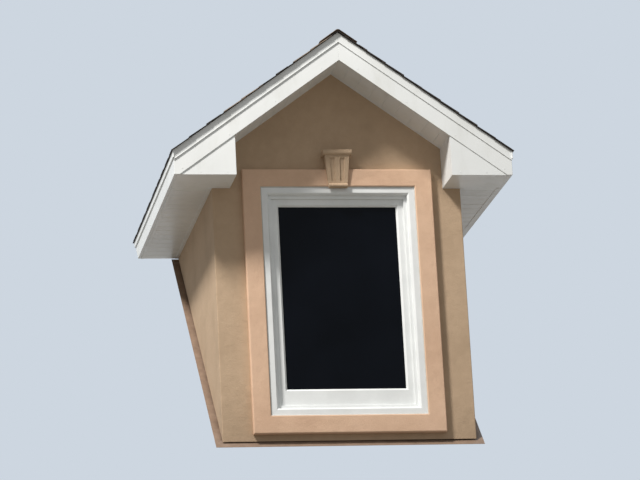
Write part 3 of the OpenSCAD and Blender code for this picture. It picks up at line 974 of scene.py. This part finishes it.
def granules():
    """Mixed brown granules, a tone for each tab, a painted shadow line, and black cut edges."""
    roof = Finish("brown_tan_shingle", 0.95)
    own = roof.add("Attribute", attribute_name="tone").outputs["Fac"]
    rise = roof.add("Attribute", attribute_name="rise").outputs["Fac"]
    cloud = roof.noise(9.0, 3, 0.6)
    level = roof.mix(0.25, own, cloud)
    tone = roof.ramp(level, (0.0, paint(80, 68, 60)), (0.25, paint(110, 94, 82)),
                     (0.55, paint(138, 120, 105)), (0.8, paint(162, 143, 126)),
                     (1.0, paint(183, 163, 144)))
    grain = roof.cells(620.0, output="Color")
    pick = roof.add("SeparateColor", {0: grain}).outputs[0]
    speck = roof.ramp(pick, (0.0, paint(58, 50, 44)), (0.4, paint(124, 107, 93)),
                      (0.8, paint(178, 158, 138)), (1.0, paint(208, 191, 170)))
    body = roof.mix(0.36, tone, speck)
    # The painted shadow line lies just below the next course's edge, where that edge's shade
    # falls, and its edge is ragged.
    ragged = roof.sums("ADD", rise, roof.sums("MULTIPLY", roof.noise(60.0, 3, 0.7), 0.016))
    painted_shadow_line = roof.grey_ramp(roof.sums("DIVIDE", ragged, 0.2), (0.655, 0), (0.715, 0.55),
                            (0.8, 0.7))
    body = roof.mix(painted_shadow_line, body, paint(70, 59, 52))
    cut_edge = roof.sums("LESS_THAN", own, 0.01)
    roof.coloured(roof.mix(cut_edge, body, paint(58, 51, 46)))
    roof.bumped(roof.cells(620.0), 0.0009).bumped(cloud, 0.0012)
    return roof.material


def shingle_strip(number, tabs):
    """One shingle: X runs up the roof from its butt, Y along the course."""
    strip = block((0, strip_gap / 2, 0), (exposure + tucked, strip_length - strip_gap / 2, ply))
    edit(strip)
    for start, end in tabs:
        for edge, slant in ((start, tab_slant), (end, -tab_slant)):
            bpy.ops.mesh.select_all(action="SELECT")
            bpy.ops.mesh.bisect(plane_co=(0, edge, 0), plane_no=(-slant, 1, 0))
    pick_faces(lambda centre, normal: normal.z > 0.9 and any(
        start < centre.y < end for start, end in tabs))
    bpy.ops.mesh.extrude_region_move(TRANSFORM_OT_translate={"value": (0, 0, ply)})
    leave_edit()
    # The tabs are paler than the strip behind them, and all cut edges get tone 0.
    tones = []
    for face in strip.data.polygons:
        tab = next((index for index, (start, end) in enumerate(tabs)
                    if start - 0.004 < face.center.y < end + 0.004), None)
        raised = tab is not None and face.center.z > ply
        blend = (int(face.center.y / 0.11) * 0.43 + number * 0.29) % 1
        tone = 0.36 + 0.5 * ((tab * 0.37 + number * 0.29) % 1) if raised else 0.14 + 0.26 * blend
        tones.append(tone if face.normal.z > 0.5 else 0)
    record(strip, "tone", "FACE", tones)
    record(strip, "rise", "POINT", [point.co.x for point in strip.data.vertices])
    return strip


roofer = Random(21)


def tab_pattern():
    """Tabs 90 to 220 mm wide, with gaps of 45 to 120 mm, along one strip."""
    tabs, start = [], roofer.uniform(0.01, 0.06)
    while start < strip_length - 0.09:
        end = min(start + roofer.uniform(0.09, 0.22), strip_length - 0.012)
        tabs.append((start, end))
        start = end + roofer.uniform(0.045, 0.12)
    return tabs


# The courses start a little inside the slab that they stand for, because their
# butts are square to the slope.
shingle = granules()
strip_models = [shingle_strip(number, tab_pattern()) for number in range(5)]
roof_low, roof_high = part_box("shingles_right")
gable_y = roof_low.y + rake_room
roof_x = roof_high.x - butt_room
deck_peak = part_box("roof_deck_right")[1].z
eave_level = deck_peak - roof_x * tan(dormer_slope)
courses = int(roof_x / cos(dormer_slope) / exposure) + 1


def shift_tones(piece, amount):
    """Makes all the tones of one shingle's face a little lighter or darker."""
    for value in piece.data.attributes["tone"].data:
        if value.value:
            value.value = min(max(value.value + amount, 0.02), 1)


def slope_frame(hand):
    """The dormer roof's slope on one side: up the slope, along it and off it."""
    up = Vector((-hand * cos(dormer_slope), 0, sin(dormer_slope)))
    off = Vector((hand * sin(dormer_slope), 0, cos(dormer_slope)))
    corner = Vector((hand * roof_x, 0, eave_level))
    axes = Matrix((up, off.cross(up), off)).transposed().to_4x4()
    return Matrix.Translation(corner) @ axes


# Course -1 is the starter strip, which lies flat under the first course. Every
# strip is trimmed at the rake, at the ridge and at the valley.
rake_edge = Vector((0, gable_y, 0)), Vector((0, -1, 0))
for hand, label in hands:
    slope = slope_frame(hand)
    ridge_line = Vector((0, 0, 0)), Vector((-hand, 0, 0))
    strips = []
    for course in range(-1, courses):
        up_slope = max(course, 0) * exposure
        valley_y = eave_level + up_slope * sin(dormer_slope)
        butt = 0 if course < 0 else lift if course else ply
        lean = Matrix.Rotation(asin(butt / (exposure + tucked)), 4, "Y")
        y = gable_y - roofer.uniform(0.1, strip_length - 0.1)
        while y < valley_y + past_valley:
            start = y if hand < 0 else -y - strip_length
            slip = roofer.uniform(-uneven, uneven) if course > 0 else 0
            laid = Matrix.Translation((up_slope + slip, start, butt)) @ lean
            strip = place_copy(roofer.choice(strip_models), "strip", slope @ laid)
            shift_tones(strip, roofer.uniform(-0.13, 0.13))
            if trim_to(strip, rake_edge, ridge_line, base_trim):
                strips.append(strip)
            y += strip_length
    roof = join(strips, "shingles_" + label + "_courses")
    settle(roof, shingle, "shingle", "shingles_" + label)
for model in strip_models:
    bpy.data.objects.remove(model)

# Ridge caps are pieces of the same shingle bent over the ridge, each lapping the
# one in front of it. Their cut edges, the faces of small area, get tone 0.
cap_depth = exposure + 0.04
cap_half = 0.15
cap_sheet = 0.003
cap_bend = 0.012
cap_seat = 0.002
cap_edge_area = 0.0009


def ridge_shingle():
    """One cap, flat at first, then bent down on both sides of the ridge."""
    bpy.ops.object.select_all(action="DESELECT")
    bpy.ops.mesh.primitive_plane_add(size=1)
    cap = bpy.context.object
    cap.data.transform(Matrix.Translation((0, cap_depth / 2, 0))
                       @ Matrix.Diagonal((2 * cap_half, cap_depth, 1, 1)))
    edit(cap)
    for x in (-cap_bend, 0, cap_bend):
        bpy.ops.mesh.select_all(action="SELECT")
        bpy.ops.mesh.bisect(plane_co=(x, 0, 0), plane_no=(1, 0, 0))
    leave_edit()
    half_turn = dormer_slope / 2
    for point in cap.data.vertices:
        side = 1 if point.co.x > 0 else -1
        out = abs(point.co.x)
        bent = min(out, cap_bend)
        rest = out - bent
        point.co.x = side * (bent * cos(half_turn) + rest * cos(dormer_slope))
        point.co.z = -bent * sin(half_turn) - rest * sin(dormer_slope)
    thick = cap.modifiers.new("Thickness", "SOLIDIFY")
    thick.thickness = cap_sheet
    thick.offset = -1
    activate(cap)
    bpy.ops.object.modifier_apply(modifier=thick.name)
    return cap


cap_model = ridge_shingle()
ridge_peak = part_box("ridge_cap")[1].z
cap_lean = Matrix.Rotation(-asin(cap_sheet / exposure), 4, "X")
caps = []
y = gable_y
while y < ridge_peak:
    laid = Matrix.Translation((0, y, ridge_peak - cap_seat)) @ cap_lean
    cap = place_copy(cap_model, "cap", laid)
    tone = roofer.uniform(0.25, 0.85)
    record(cap, "tone", "FACE", [tone if face.area > cap_edge_area else 0
                                 for face in cap.data.polygons])
    record(cap, "rise", "POINT", [point.co.y - y for point in cap.data.vertices])
    if trim_to(cap, rake_edge, base_trim):
        caps.append(cap)
    y += exposure
bpy.data.objects.remove(cap_model)
caps = join(caps, "ridge_cap_shingles")
settle(caps, shingle, "shingle", "ridge_cap")


# Floor and light
# A pale floor far below, a large soft lamp high at the front left, and an even
# pale surround that fills the shade.
backdrop = paint(205, 214, 224)
floor_size = 3000
floor_level = -60
lamp_aim = Vector((0, 0.2, 1.2))
lamp_way = Vector((-0.49, -0.42, 0.765))
lamp_distance = 14


def link_seen(tree, share):
    """Gives a socket 1 where the camera, a reflection or clear glass looks, or else 0."""
    rays = tree.nodes.new("ShaderNodeLightPath").outputs
    seen = rays["Is Camera Ray"]
    for ray in ("Is Glossy Ray", "Is Transmission Ray"):
        either = tree.nodes.new("ShaderNodeMath")
        either.operation = "MAXIMUM"
        tree.links.new(seen, either.inputs[0])
        tree.links.new(rays[ray], either.inputs[1])
        seen = either.outputs[0]
    tree.links.new(seen, share)


bpy.ops.object.select_all(action="DESELECT")
bpy.ops.mesh.primitive_plane_add(size=floor_size, location=(0, 0, floor_level))
floor = bpy.context.object
floor.name = "floor"
pale = Finish("pale_floor", 0.9)
pale.coloured(pale.ramp(pale.noise(0.4), (0.3, paint(226, 214, 198)), (0.7, paint(232, 221, 206))))
glow = pale.add("Emission", {"Color": backdrop})
share = pale.add("Math", {1: 0.92}, operation="MULTIPLY")
link_seen(pale.tree, share.inputs[0])
mixed = pale.add("MixShader", {0: share.outputs[0], 1: pale.shader.outputs[0],
                               2: glow.outputs[0]})
pale.tree.links.new(mixed.outputs[0], pale.tree.nodes["Material Output"].inputs["Surface"])
floor.data.materials.append(pale.material)

lamp = bpy.data.objects.new("key_lamp", bpy.data.lights.new("key_lamp", "AREA"))
lamp.data.shape = "DISK"
lamp.data.size = 2.2
lamp.data.energy = 2930
lamp.data.color = (1.0, 0.975, 0.94)
lamp.location = lamp_aim + lamp_distance * lamp_way
lamp.rotation_euler = (-lamp_way).to_track_quat("-Z", "Y").to_euler()
bpy.context.collection.objects.link(lamp)

world = bpy.data.worlds.new("surround")
bpy.context.scene.world = world
world.use_nodes = True
surround = world.node_tree
fill = surround.nodes["Background"]
fill.inputs["Color"].default_value = (0.95, 0.98, 1.0, 1)
fill.inputs["Strength"].default_value = 0.4
shown = surround.nodes.new("ShaderNodeBackground")
shown.inputs["Color"].default_value = backdrop
choice = surround.nodes.new("ShaderNodeMixShader")
link_seen(surround, choice.inputs[0])
surround.links.new(fill.outputs[0], choice.inputs[1])
surround.links.new(shown.outputs[0], choice.inputs[2])
surround.links.new(choice.outputs[0], surround.nodes["World Output"].inputs["Surface"])

bpy.context.scene.view_settings.view_transform = "Standard"
